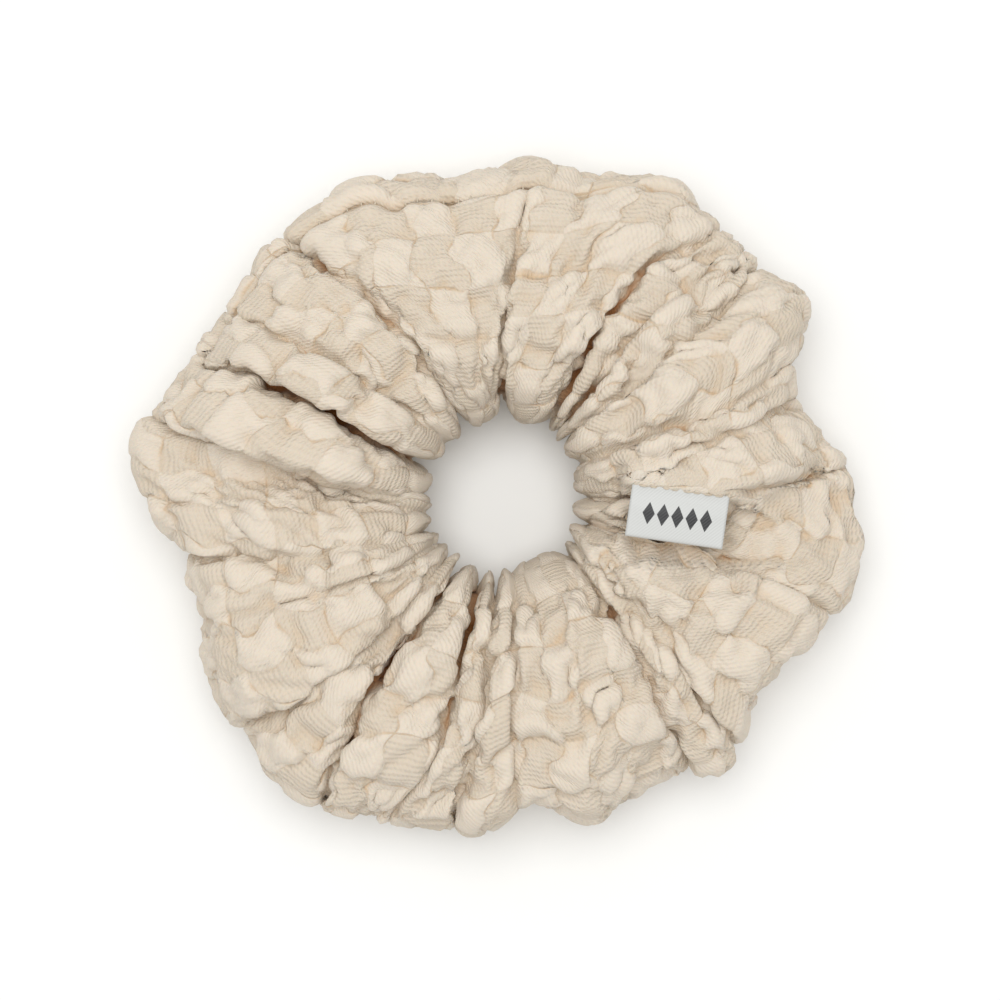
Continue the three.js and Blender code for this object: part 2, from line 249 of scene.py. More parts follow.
def gathered_ring(rng):
    """The gathers before the cloth is simulated, as rows by columns by xyz, and how deep each point lies.

    Between two valleys the cloth stands on them as a flat-topped arch: at a turn p from 0 to pi it is
    (1 - cos p) / 2 of the way from one valley's angle to the next, and 1 - sin(p) ** FLATNESS of their
    depth below the crest. It leans sideways in proportion to sin p. Points are equally spaced along it.
    A point's depth counts only half of what its whole gather lies below the others.
    """
    out, up, normal_out, normal_up = section(ROWS)
    below = (np.arange(ROWS) > ROWS // 2)[:, None]
    out = out[:, None]
    table = np.array(GATHERS, float)
    count = len(table)
    sway = UNDER_SWAY * np.sin(2.4 * np.arange(count))
    middle = table[:, 1] + below * sway
    angle = np.radians(through(table[:, 0], middle, table[:, 2], out))
    depth = np.maximum(LEAST_DEPTH, through(table[:, 3], table[:, 4], table[:, 5], out)) * MM
    depth = depth * np.where(below, UNDER_DEPTH, 1)
    lower = table[:, 6] * 4 * out * (1 - out) * np.where(below, 0, 1) * MM
    lean = table[:, 7] * (4 * out * (1 - out)) ** 0.5 * np.where(below, 0, 1) * MM
    after = np.hstack([angle[:, 1:], angle[:, :1] + TURN])
    depth_after = np.roll(depth, -1, axis=1)
    radius = HOLE + out * (REACH.mean() - HOLE)

    p = np.linspace(0, math.pi, 65)
    share = (1 - np.cos(p)) / 2
    profiles = []
    for k in range(count):
        theta = angle[:, k, None] + share * (after[:, k] - angle[:, k])[:, None]
        theta = theta + lean[:, k, None] / radius * np.sin(p)
        rise = np.sin(p) ** FLATNESS
        drop = (depth[:, k, None] * (1 - share) + depth_after[:, k, None] * share) * (1 - rise)
        lowered = drop + lower[:, k, None] * np.sin(p)
        step = np.hypot(np.diff(theta, axis=1) * radius, np.diff(lowered, axis=1))
        length = np.hstack([np.zeros((ROWS, 1)), np.cumsum(step, axis=1)])
        profiles.append((length, (theta, lowered, 0.5 * (lowered + drop))))
    lengths = np.array([length[:, -1].mean() for length, _ in profiles])
    ends = np.round(np.concatenate([[0], np.cumsum(lengths)]) / lengths.sum() * COLUMNS).astype(int)

    theta, drop, fold = np.zeros((3, ROWS, COLUMNS))
    for k, (length, profile) in enumerate(profiles):
        share = np.arange(ends[k + 1] - ends[k]) / (ends[k + 1] - ends[k])
        for row in range(ROWS):
            at = share * length[row, -1]
            for values, spaced in zip(profile, (theta, drop, fold)):
                spaced[row, ends[k] : ends[k + 1]] = np.interp(at, length[row], values[row])

    u = np.arange(COLUMNS) / COLUMNS
    v = np.arange(ROWS)[:, None] / ROWS
    drop = drop - RIPPLE * fold_noise(u, v, rng, 14, 3, 9)
    facet = (np.degrees(theta) % 360) / OUTLINE_STEP
    reach = periodic(REACH, facet) + by_angle(EDGE_PAST, np.degrees(theta)) * MM
    crown = periodic(CROWN, facet)
    radius = HOLE + out * (reach - HOLE) - drop * normal_out[:, None]
    height = up[:, None] * crown - drop * normal_up[:, None]
    x = MIDDLE[0] + radius * np.cos(theta)
    y = MIDDLE[1] + radius * np.sin(theta)
    return np.dstack([x, y, height]), fold


# ---- meshes ----


def grid_faces(rows, columns, close_rows):
    """Quads of a grid that closes on itself along its columns, and along its rows if close_rows."""
    row = np.arange(rows if close_rows else rows - 1)[:, None]
    column = np.arange(columns)
    after_row, after_column = (row + 1) % rows, (column + 1) % columns
    corners = [
        row * columns + column,
        row * columns + after_column,
        after_row * columns + after_column,
        after_row * columns + column,
    ]
    return np.stack([np.broadcast_to(c, (len(row), columns)) for c in corners], axis=-1).reshape(-1, 4)


def new_mesh(name, points, faces, material=None, smooth=True):
    """An object at the origin whose mesh has these points and faces."""
    mesh = bpy.data.meshes.new(name)
    mesh.from_pydata(np.asarray(points).reshape(-1, 3).tolist(), [], list(map(tuple, faces)))
    mesh.validate()
    mesh.polygons.foreach_set("use_smooth", [smooth] * len(mesh.polygons))
    if material:
        mesh.materials.append(material)
    piece = bpy.data.objects.new(name, mesh)
    bpy.context.scene.collection.objects.link(piece)
    return piece


def square(half):
    """The corners of a level square at height 0, half its side from the middle."""
    return [(-half, -half, 0), (half, -half, 0), (half, half, 0), (-half, half, 0)]


def normals_of(grid):
    """Unit normals of a closed grid of points, from the differences of its neighbours."""
    along = np.roll(grid, -1, axis=1) - np.roll(grid, 1, axis=1)
    return unit(np.cross(along, np.roll(grid, -1, axis=0) - np.roll(grid, 1, axis=0)))


# ---- the cloth's simulation ----

SIM_SCALE = 10  # the cloth is simulated this many times larger, where the solver's thickness works
SIM_FRAMES = 12
CLOTH_GROWS = 0.08  # of its length, so that it buckles


def settle_cloth(grid, grow, pins):
    """Lets the gathers settle as cloth: it grows by grow, buckles, touches itself and rests on the floor.

    pins holds each point's pull towards where it started, from 0 to 1.
    """
    rows, columns = grid.shape[:2]
    cloth = new_mesh("settling_cloth", grid * SIM_SCALE, grid_faces(rows, columns, True))
    group = cloth.vertex_groups.new(name="held")
    levels = np.round(pins.ravel(), 2)
    for level in np.unique(levels):
        group.add(np.flatnonzero(levels == level).tolist(), float(level), "REPLACE")
    floor = new_mesh("settling_floor", square(2), [(0, 1, 2, 3)])
    floor.modifiers.new("Collision", "COLLISION")
    floor.collision.thickness_outer = 0.01
    modifier = cloth.modifiers.new("Cloth", "CLOTH")
    settings = modifier.settings
    settings.quality = 6
    settings.mass = 0.15
    settings.tension_stiffness = 12
    settings.compression_stiffness = 12
    settings.shear_stiffness = 3
    settings.bending_model = "ANGULAR"
    settings.bending_stiffness = 2.5
    settings.shrink_min = -grow
    settings.vertex_group_mass = "held"
    settings.pin_stiffness = 1.0
    settings.use_pressure = True
    settings.uniform_pressure_force = 0.15
    settings.effector_weights.gravity = 0.25
    modifier.collision_settings.use_self_collision = True
    modifier.collision_settings.self_distance_min = 0.009
    modifier.collision_settings.distance_min = 0.01
    modifier.collision_settings.collision_quality = 3
    modifier.point_cache.frame_start = 1
    modifier.point_cache.frame_end = SIM_FRAMES
    scene = bpy.context.scene
    scene.frame_start, scene.frame_end = 1, SIM_FRAMES
    for number in range(1, SIM_FRAMES + 1):
        scene.frame_set(number)
    settled = points_of(cloth.evaluated_get(bpy.context.evaluated_depsgraph_get()).data)
    for piece in (cloth, floor):
        mesh = piece.data
        bpy.data.objects.remove(piece)
        bpy.data.meshes.remove(mesh)
    scene.frame_set(1)
    return settled.reshape(rows, columns, 3) / SIM_SCALE


# ---- the puckered check cloth ----

STRIP = (0.150, 0.560)  # the strip as it is cut: width, with both seam allowances, and length
ALLOWANCE = 7 * MM
TUBE = STRIP[0] - 2 * ALLOWANCE  # round the section, between the stitching
FINE_ROWS, FINE_COLUMNS = 144, 608  # of the finished cloth between the seam's two edges
CELLS_ROUND, CELLS_SECTION = 60, 14  # checks along the strip and across it, about 9.5 mm each
ALLOWANCE_ROWS = 5
EDGES_APART = 0.2 * MM  # from the middle of the long seam to each of its two edges
GROOVE_WIDTH = 0.065  # of the groove along a check's edge, in checks
VALLEY_OPENS = 0.5 * MM  # how far the cloth draws back in the deepest valleys, so that they stay open
PACKED = 13 * MM  # how far out from the hair opening the elastic packs the cloth into pleats
SEED = 11  # of the ripples, the warp of the checks and their pucker


def resampled(grid, rows, columns, row_shift=0):
    """The closed grid read as a Catmull-Rom surface at rows by columns, its rows moved by row_shift."""
    across = periodic(np.moveaxis(grid, 1, 0), np.arange(columns) / columns * grid.shape[1])
    across = np.moveaxis(across, 0, 1)
    at = (np.arange(rows)[:, None] / rows + row_shift) * grid.shape[0]
    i = np.floor(at).astype(int)
    corners = (across[(i + k) % grid.shape[0], np.arange(columns)] for k in (-1, 0, 1, 2))
    return catmull_rom(*corners, (at - i)[..., None])


def check_coordinates(rng):
    """Where each point of the finished cloth lies in the checks, counted in checks: two arrays.
    """
    u = np.arange(FINE_COLUMNS) / FINE_COLUMNS
    v = np.arange(FINE_ROWS)[:, None] / FINE_ROWS
    along, across = u * CELLS_ROUND, v * CELLS_SECTION
    along = along + 0.16 * fold_noise(u, v, rng, 10, 6, 16) + 0.05 * fold_noise(u, v, rng, 8, 20, 34)
    across = across + 0.12 * fold_noise(u, v, rng, 10, 5, 14) + 0.05 * fold_noise(u, v, rng, 8, 18, 30)
    return along, across


def pucker_height(along, across, rng):
    """How far the checks stand proud of the cloth, in metres.

    Every other check is puffed: a dome, sqrt(4a(1-a)) sqrt(4b(1-b)) across it. The others lie low and
    are crimped into fine waves. Each leans its own way, so that its edges step over or under the next
    ones', and a groove of Gaussian section runs along each edge.
    """
    i, j = np.floor(along).astype(int), np.floor(across).astype(int)
    a, b = along - i, across - j
    shape = (CELLS_SECTION * 2, CELLS_ROUND * 2)

    def pick(low, high):
        """A number between low and high for each check, read at every point."""
        return rng.uniform(low, high, shape)[j % shape[0], i % shape[1]]

    puffed = (i + j) % 2 == 0
    dome = np.sqrt(np.clip(16 * a * (1 - a) * b * (1 - b), 0, None))
    rise = np.where(puffed, pick(0.6, 1.15), pick(0.0, 0.3)) * dome**0.45
    lean = pick(-0.8, 0.8) * (a - 0.5) + pick(-0.8, 0.8) * (b - 0.5)
    waves = pick(2.0, 3.2) * a + pick(-0.8, 0.8) * b + pick(0, 1)
    crimps = np.where(puffed, 0.03, 0.07) * np.sin(TURN * waves)
    edge = np.minimum(np.minimum(a, 1 - a), np.minimum(b, 1 - b))
    groove = np.exp(-((edge / GROOVE_WIDTH) ** 2))
    return (rise + lean + crimps * dome**0.3 - 0.5 * groove) * MM


def polar(grid):
    """The angle in degrees and the distance from the middle of the hair opening, in plan."""
    x, y = np.moveaxis(grid[..., :2] - MIDDLE, -1, 0)
    return np.degrees(np.arctan2(y, x)) % 360, np.hypot(x, y)


# How far the long seam wanders over the top of the outer edge, in millimetres of cloth, by angle.
SEAM_WANDER = [
    (0, -4), (30, -6), (52, 6), (75, 11), (110, 13), (135, 9), (165, 0), (220, -5), (300, -5), (340, 4),
]


def seam_shift(theta):
    """SEAM_WANDER read smoothly at angles in degrees, as a share of the tube."""
    return by_angle(SEAM_WANDER, theta) * MM / TUBE


def seam_lip(rows_from_seam):
    """A Gaussian groove at the seam and a Gaussian lip rolled up on each side of it."""
    distance = rows_from_seam * TUBE / FINE_ROWS
    stitched = -0.9 * np.exp(-((distance / (0.9 * MM)) ** 2))
    roll = 0.8 * np.exp(-(((distance - 2.6 * MM) / (1.5 * MM)) ** 2))
    return (stitched + roll) * MM


def smoothed_at_hole(ring):
    """The ring blurred round the hair opening, where the elastic packs the cloth into rounded pleats."""
    blurred = ring
    for _ in range(4):
        blurred = (np.roll(blurred, 1, axis=1) + 2 * blurred + np.roll(blurred, -1, axis=1)) / 4
        blurred = (np.roll(blurred, 1, axis=0) + 2 * blurred + np.roll(blurred, -1, axis=0)) / 4
    share = 1 - ramp(polar(ring)[1], HOLE + 3 * MM, HOLE + PACKED)[..., None]
    return ring + share * (blurred - ring)


def cover_surface(simulate, pucker):
    """The finished cloth between its seam's two edges, how far each point lies in dents and valleys as a share of
    painted shade, and its checks.

    The settled ring is read finely, from the closing seam round, then its checks are raised along its
    normals, and it is laid round the label and kept off the elastic.
    """
    rng = np.random.default_rng(SEED)
    ring, drop = gathered_ring(rng)
    if simulate:
        out = section(ROWS)[0]
        # The cloth is held firmly where the elastic gathers it, and half as firmly further out.
        pins = np.interp(out, [0.05, 0.3], [0.85, 0.5])[:, None] + np.zeros(ring.shape[:2])
        ring = settle_cloth(ring, CLOTH_GROWS, pins)
    ring = smoothed_at_hole(ring)
    start = int(np.argmin(np.abs((polar(ring[0])[0] - CLOSING_ANGLE + 180) % 360 - 180)))
    ring, drop = np.roll(ring, -start, axis=1), np.roll(drop, -start, axis=1)
    edge = resampled(ring, 1, FINE_COLUMNS)[0]
    shift = seam_shift(polar(edge)[0])[None, :]
    grid = resampled(ring, FINE_ROWS, FINE_COLUMNS, shift)
    valley = resampled(drop[..., None], FINE_ROWS, FINE_COLUMNS, shift)[..., 0]
    grid = grid - VALLEY_OPENS * normals_of(grid) * ramp(valley, 3.5 * MM, 8 * MM)[..., None]
    along, across = check_coordinates(rng)
    height = pucker_height(along, across, rng) * pucker
    # Checks are pressed flatter in the valleys, along the seam and where the elastic packs them.
    openness = 0.35 + 0.65 * np.exp(-np.maximum(valley, 0) / (5 * MM))
    rows = np.arange(FINE_ROWS)[:, None]
    from_seam = np.minimum(rows, FINE_ROWS - rows)
    near_seam = np.exp(-((from_seam * TUBE / FINE_ROWS / (3 * MM)) ** 2))
    inner = ramp(polar(grid)[1], HOLE, HOLE + 9 * MM)
    relief = height * openness * (1 - 0.6 * near_seam) * (0.4 + 0.6 * inner) + seam_lip(from_seam)
    normals = normals_of(grid)
    grid = grid + normals * relief[..., None]
    grid = sewn_to_label(grid, normals[..., 2])
    grid[..., 2] = np.maximum(grid[..., 2], 0)
    grid = clear_of_elastic(grid, shift)
    normals = normals_of(grid)
    fine, coarse = hollows(grid, normals, 6, 0.9 * MM), hollows(grid, normals, 60, 3.5 * MM)
    deep = ramp(valley, 3 * MM, 8 * MM)
    # Small dents, large ones and the valleys themselves each keep out a share of the light, which the material
    # paints on as shade.
    return grid, 1 - (1 - 0.35 * fine) * (1 - 0.75 * coarse) * (1 - 0.85 * deep), along, across


# ---- the seam that holds the label ----

# The seam's branch over the top, from the hair opening past the label to the outer edge: angle in
# degrees and distance in millimetres from the middle of the hair opening.
BRANCH = [(-4, 19), (-1.1, 25.7), (0.1, 43.7), (0.8, 49.5), (3.5, 54.5), (7.2, 60.6), (12, 66)]
RUFFLE_STEP = 4.5 * MM  # the ruffle's edge stands this far above the cloth that it lies on


def branch_route():
    """The branch in plan as closely spaced points, and the length along it at each."""
    angle, radius = np.array(BRANCH).T
    angle, radius = np.radians(angle), radius * MM
    corners = np.stack([radius * np.cos(angle), radius * np.sin(angle)], axis=1) + MIDDLE
    ends = np.vstack([2 * corners[0] - corners[1], corners, 2 * corners[-1] - corners[-2]])
    t = np.linspace(0, len(corners) - 1 - 1e-9, 20 * len(corners))
    i = np.floor(t).astype(int)
    route = catmull_rom(*(ends[i + k] for k in range(4)), (t - i)[:, None])
    steps = np.linalg.norm(np.diff(route, axis=0), axis=1)
    return route, np.concatenate([[0], np.cumsum(steps)])


def beside_branch(points):
    """How far points in plan lie to the left of the branch, and where along it."""
    route, length = branch_route()
    heading = unit(np.gradient(route, axis=0))
    offset = points[:, None] - route[None]
    nearest = np.argmin((offset**2).sum(axis=2), axis=1)
    offset = offset[np.arange(len(points)), nearest]
    ahead = heading[nearest]
    side = ahead[:, 0] * offset[:, 1] - ahead[:, 1] * offset[:, 0]
    distance = np.hypot(*offset.T)
    return np.where(side < 0, -distance, distance), length[nearest]


LABEL_HINGE = next(joint for joint in frame["joints"] if joint["child"] == "label")


def label_directions():
    """The label's own directions: along its sewn edge, down to its fold and out of the cloth."""
    along = -np.array(LABEL_HINGE["axis"])
    tab = mesh_points("label_tab")
    out = np.linalg.svd(tab - tab.mean(axis=0), full_matrices=False)[2][2]
    out = out * np.sign(out[2])
    return along, np.cross(along, out), out


LABEL_AT = np.array(LABEL_HINGE["pos_m"])
ALONG, DOWN, OUT = label_directions()
TAB = (mesh_points("label_tab") - LABEL_AT) @ np.stack([ALONG, DOWN, OUT], axis=1)
LABEL_HALF, LABEL_DROP, LABEL_THICK = TAB[:, 0].max(), TAB[:, 1].max(), 2 * TAB[:, 2].max()
TAIL = -((mesh_points("label_sewn_ends") - LABEL_AT) @ DOWN).min()
OVER_ENDS = 0.3 * MM  # from the label's sewn ends up to the cloth over them
UNDER_TAB = 0.35 * MM  # from the label's tab down to the cloth
TOP_FROM = 9 * MM  # cloth that lies lower than this is underneath, and is left alone


def sewn_to_label(grid, facing_up):
    """The branch's groove and rolled lips, and the cloth laid over the label's ends and under its tab."""
    flat = grid.reshape(-1, 3)
    weight = (ramp(facing_up, 0.1, 0.5) * ramp(grid[..., 2], TOP_FROM, 15 * MM)).ravel()
    above = flat[:, 2] > TOP_FROM
    near = np.flatnonzero(above & (flat[:, 0] > MIDDLE[0] + 15 * MM) & (flat[:, 1] > -12 * MM))
    aside, length = beside_branch(flat[near, :2])
    reach = branch_route()[1][-1]
    weight = weight[near] * ramp(length, 1 * MM, 9 * MM)
    weight = weight * (1 - ramp(length, reach - 12 * MM, reach - 2 * MM))
    groove = -1.1 * np.exp(-((aside / (0.8 * MM)) ** 2))
    upper = 1.0 * np.exp(-(((aside - 2.2 * MM) / (1.6 * MM)) ** 2))
    lower = 0.8 * np.exp(-(((aside + 1.9 * MM) / (1.1 * MM)) ** 2))
    beyond = -0.9 * np.exp(-(((aside + 4 * MM) / MM) ** 2))
    flat[near, 2] += (groove + upper + (lower + beyond)) * MM * weight
    beneath = ramp(-aside, 0.4 * MM, 2.6 * MM) * (1 - ramp(-aside, 9 * MM, 20 * MM))
    flat[near, 2] -= RUFFLE_STEP * beneath * weight
    local = (flat[near] - LABEL_AT) @ np.stack([ALONG, DOWN, OUT], axis=1)
    within = 1 - ramp(np.abs(local[:, 0]), LABEL_HALF + 0.5 * MM, LABEL_HALF + 4 * MM)
    over = within * ramp(-local[:, 1], 0, 0.8 * MM)
    over = over * (1 - ramp(-local[:, 1], TAIL + 0.8 * MM, TAIL + 4 * MM))
    under = within * ramp(local[:, 1], -0.2 * MM, 0.3 * MM)
    under *= 1 - ramp(local[:, 1], LABEL_DROP + 0.6 * MM, LABEL_DROP + 4 * MM)
    # Folds that lie deep are drawn up almost flat, and keep their order.
    drawn = 0.97 * (1 - ramp(-local[:, 2], 12 * MM, 20 * MM))
    lift = np.maximum(LABEL_THICK / 2 + OVER_ENDS - local[:, 2], 0) * over * drawn
    fall = np.maximum(local[:, 2] + LABEL_THICK / 2 + UNDER_TAB, 0) * under
    flat[near, 2] += lift - fall
    return flat.reshape(grid.shape)


def clear_of_elastic(grid, shift):
    """Keeps the cloth round the elastic, and ELASTIC_ROOM away from it.

    Each row keeps to its own side: its offset from the elastic's middle line, measured the way that the
    plain section lies from that line, is at least the reach of the elastic and its room that way.
    """
    out, up, _, _ = section(ROWS)
    home = np.stack([HOLE + out * (REACH.mean() - HOLE), up * CROWN.mean()], axis=1)
    home = periodic(home, (np.arange(len(grid))[:, None] / len(grid) + shift) * ROWS)
    way = unit(home - (ELASTIC_RADIUS, ELASTIC_HEIGHT))
    theta, radius = polar(grid)
    offset = np.stack([radius - ELASTIC_RADIUS, grid[..., 2] - ELASTIC_HEIGHT], axis=-1)
    least = np.hypot(*np.moveaxis(way * (np.array(ELASTIC_HALF) + ELASTIC_ROOM), -1, 0))
    short = np.maximum(least - (offset * way).sum(axis=-1), 0)
    offset = offset + short[..., None] * way
    angle = np.radians(theta)
    flat = np.stack([np.cos(angle), np.sin(angle)], axis=-1) * (ELASTIC_RADIUS + offset[..., :1]) + MIDDLE
    return np.concatenate([flat, ELASTIC_HEIGHT + offset[..., 1:]], axis=-1)


def hollows(grid, normals, passes, depth):
    """Where the cloth lies lower than its surroundings: 0 on the crests to 1 at depth below them.

    Its surroundings are the grid blurred by passes of a kernel of a quarter, a half and a quarter.
    """
    blurred = grid
    for _ in range(passes):
        for axis in (0, 1):
            blurred = (np.roll(blurred, 1, axis=axis) + 2 * blurred + np.roll(blurred, -1, axis=axis)) / 4
    return ramp(((blurred - grid) * normals).sum(axis=2), 0.1 * depth, depth)


def with_allowances(grid):
    """The strip opened at its seam: its two raw edges turn in and lie together inside the tube."""
    edge = grid[:1]
    normal = normals_of(grid)[:1]
    depth = np.linspace(0, ALLOWANCE, ALLOWANCE_ROWS + 1)[1:, None, None]
    apart = np.cross(np.roll(edge, -1, axis=1) - np.roll(edge, 1, axis=1), normal)
    apart /= np.linalg.norm(apart, axis=2, keepdims=True)
    inwards = edge - depth * normal * 0.5
    inwards[..., :2] -= depth * 0.75 * unit(edge[..., :2] - MIDDLE)
    spread = EDGES_APART + np.minimum(depth * 0.2, 0.4 * MM)
    return np.concatenate(
        [
            (inwards - spread * apart)[::-1],
            edge - EDGES_APART * apart,
            grid[1:],
            edge + EDGES_APART * apart,
            inwards + spread * apart,
        ]
    )


def corner_points(piece):
    """The number of the point at each corner of a piece's faces."""
    numbers = np.zeros(len(piece.data.loops), int)
    piece.data.loops.foreach_get("vertex_index", numbers)
    return numbers


def write_map(piece, name, uv):
    """A UV map with these coordinates at the corners of a piece's faces."""
    piece.data.uv_layers.new(name=name).data.foreach_set("uv", uv.ravel())


def strip_map(piece, name, values, columns, period):
    """Writes a UV map given per point of a grid, unwrapped by its period where the grid closes."""
    corners = corner_points(piece)
    column = (corners % columns).reshape(-1, 4)
    wraps = ((column == 0) & (column.max(axis=1, keepdims=True) == columns - 1)).ravel()
    uv = values.reshape(-1, 2)[corners]
    uv[:, 0] += np.where(wraps, period, 0)
    write_map(piece, name, uv)


def point_attribute(piece, name, values):
    """Writes one number per point for the materials to read."""
    attribute = piece.data.attributes.new(name, "FLOAT", "POINT")
    attribute.data.foreach_set("value", values.ravel().astype(np.float32))


# ---- materials ----

MATH, MIX, BUMP, RANGE = "ShaderNodeMath", "ShaderNodeMix", "ShaderNodeBump", "ShaderNodeMapRange"
NOISE, WAVE, PLACE = "ShaderNodeTexNoise", "ShaderNodeTexWave", "ShaderNodeTexCoord"
UV_MAP, XYZ = "ShaderNodeUVMap", "ShaderNodeSeparateXYZ"


def linear(hex_colour):
    """An sRGB hex colour as linear red, green and blue."""
    parts = [int(hex_colour[i : i + 2], 16) / 255 for i in (1, 3, 5)]
    return [c / 12.92 if c <= 0.04045 else ((c + 0.055) / 1.055) ** 2.4 for c in parts]


def node(tree, kind, output=0, inputs=None, **settings):
    """Adds a node with these settings and inputs, and returns one of its outputs.

    An input is named, or numbered, and its value is another node's output, a colour or a number.
    """
    made = tree.nodes.new(kind)
    for name, value in settings.items():
        setattr(made, name, value)
    for key, value in (inputs or {}).items():
        socket = made.inputs[key]
        if isinstance(value, bpy.types.NodeSocket):
            tree.links.new(value, socket)
        elif socket.type == "RGBA" and len(value) == 3:
            socket.default_value = (*value, 1)
        else:
            socket.default_value = value
    return made.outputs[output]


def new_material(name, colour, constants):
    """A material whose Principled shader has this colour and these constants, its tree and its shader."""
    material = bpy.data.materials.new(name)
    material.use_nodes = True
    shader = material.node_tree.nodes["Principled BSDF"]
    shader.inputs["Base Color"].default_value = (*colour, 1)
    for key, value in constants.items():
        shader.inputs[key].default_value = value
    return material, material.node_tree, shader


def puckered_crepe(colour, shade_colour, crease_shade_colour):
    """Puckered cotton crepe, piece-dyed cream: matt and a little fuzzy, with fine crimped ribs that turn
    from one check to the next. Painted shade makes it darker, warmer tan in its dents and valleys and along
    the checks' edges, and brown deep in the creases, where light passes between folds."""
    constants = {
        "Roughness": 0.9,
        "Specular IOR Level": 0.3,
        "Sheen Weight": 0.1,
        "Sheen Roughness": 0.5,
        "Subsurface Weight": 0.08,
        "Subsurface Radius": (1.0, 0.55, 0.28),
        "Subsurface Scale": 2.2 * MM,
    }
    material, tree, shader = new_material("puckered_cotton_crepe", colour, constants)
    cloth = node(tree, UV_MAP, uv_map="cloth")
    checks = node(tree, UV_MAP, uv_map="checks")
    place = node(tree, XYZ, 0, {0: checks}).node.outputs
    near = [node(tree, MATH, 0, {0: place[i], 1: 0.5}, operation="PINGPONG") for i in (0, 1)]
    edge = node(tree, MATH, 0, dict(enumerate(near)), operation="MINIMUM")
    # Threads wander by about a millimetre, so the checks' edges do too.
    wander = node(tree, NOISE, 0, {"Vector": cloth, "Scale": 260.0, "Detail": 3.0})
    edge = node(tree, MATH, 0, {0: wander, 1: 0.1, 2: edge}, operation="MULTIPLY_ADD")
    crease = node(
        tree, RANGE, 0,
        {"Value": edge, "From Min": 0.04, "From Max": 0.09, "To Min": 1.0, "To Max": 0.0},
        interpolation_type="SMOOTHSTEP",
    )
    # Creases fade in and out every 6 mm or so.
    broken = node(tree, NOISE, 0, {"Vector": cloth, "Scale": 150.0, "Detail": 1.0})
    broken = node(tree, RANGE, 0, {"Value": broken, "From Min": 0.42, "From Max": 0.62})
    shown = node(tree, MATH, 0, {0: crease, 1: broken}, operation="MULTIPLY")
    # Crimped ribs, one every 1.2 mm along the puffed checks and every millimetre across the low ones.
    ribs = [
        node(
            tree, WAVE, 1,
            {"Vector": cloth, "Scale": scale, "Distortion": 2.5, "Detail": 2.0, "Detail Scale": 0.7},
            bands_direction=direction,
        )
        for direction, scale in (("X", 260.0), ("Y", 300.0))
    ]
    parity = node(
        tree, "ShaderNodeTexChecker", 1,
        {"Vector": checks, "Scale": 1.0, "Color1": (1, 1, 1), "Color2": (0, 0, 0)},
    )
    rib = node(tree, MIX, 0, {0: parity, 2: ribs[0], 3: ribs[1]}, data_type="FLOAT")
    strength = node(tree, MATH, 0, {0: parity, 1: 0.6, 2: 0.4}, operation="MULTIPLY_ADD")
    rib = node(tree, MATH, 0, {0: rib, 1: strength}, operation="MULTIPLY")
    # A nap of loose fibres, in tufts of about a millimetre.
    grain = node(tree, NOISE, 0, {"Vector": cloth, "Scale": 1100.0, "Detail": 4.0, "Roughness": 0.75})
    # The weave's slant lines, drawn every three quarters of a millimetre so that they show.
    weave = node(
        tree, WAVE, 1,
        {"Vector": cloth, "Scale": 600.0, "Distortion": 1.5, "Detail": 2.0, "Detail Scale": 1.5},
        bands_direction="DIAGONAL",
    )
    height = rib
    for pattern, rise in ((grain, 1.5), (weave, 0.6), (shown, -1.8)):
        height = node(tree, MATH, 0, {0: pattern, 1: rise, 2: height}, operation="MULTIPLY_ADD")
    bump = node(tree, BUMP, 0, {"Height": height, "Strength": 0.6, "Distance": 0.24 * MM})
    tree.links.new(bump, shader.inputs["Normal"])
    # The low checks lie close and catch less light, in patches of about 17 mm.
    painted_shade = node(tree, "ShaderNodeAttribute", 2, attribute_name="painted_shade")
    patches = node(tree, NOISE, 0, {"Vector": cloth, "Scale": 60.0, "Detail": 2.0})
    bright = [min(1, c * 1.05) for c in colour]
    dull = [c * k for c, k in zip(colour, (0.9, 0.87, 0.82))]
    puffed = node(tree, MIX, 2, {0: patches, 6: colour, 7: bright}, data_type="RGBA")
    low = node(tree, MIX, 2, {0: patches, 6: dull, 7: colour}, data_type="RGBA")
    tone = node(tree, MIX, 2, {0: parity, 6: puffed, 7: low}, data_type="RGBA")
    # Painted shade: tan in the dents and valleys and along the checks' edges, and dark brown deep in the creases.
    deep = node(tree, RANGE, 0, {"Value": painted_shade, "From Min": 0.5, "From Max": 0.95})
    for where, share, tint in (
        (painted_shade, 0.55, shade_colour), (shown, 0.42, shade_colour), (deep, 0.9, crease_shade_colour),
    ):
        share = node(tree, MATH, 0, {0: where, 1: share}, operation="MULTIPLY")
        tone = node(tree, MIX, 2, {0: share, 6: tone, 7: tint}, data_type="RGBA")
    tree.links.new(tone, shader.inputs["Base Color"])
    return material


def spun_polyester(colour):
    """Spun polyester sewing thread, matched to the cloth: a slight lustre, with the twist of its plies."""
    constants = {"Roughness": 0.6, "Sheen Weight": 0.3}
    material, tree, shader = new_material("spun_polyester_thread", colour, constants)
    place = node(tree, PLACE, 3)
    # The twist is drawn about every millimetre, slanting across the thread, so that it shows.
    twist = node(tree, WAVE, 1, {"Vector": place, "Scale": 320.0}, bands_direction="DIAGONAL")
    bump = node(tree, BUMP, 0, {"Height": twist, "Strength": 0.5, "Distance": 0.1 * MM})
    tree.links.new(bump, shader.inputs["Normal"])
    # Painted shade: the thread is darker in the grooves between its plies.
    between = [c * 0.88 for c in colour]
    tone = node(tree, MIX, 2, {0: twist, 6: between, 7: colour}, data_type="RGBA")
    tree.links.new(tone, shader.inputs["Base Color"])
    return material


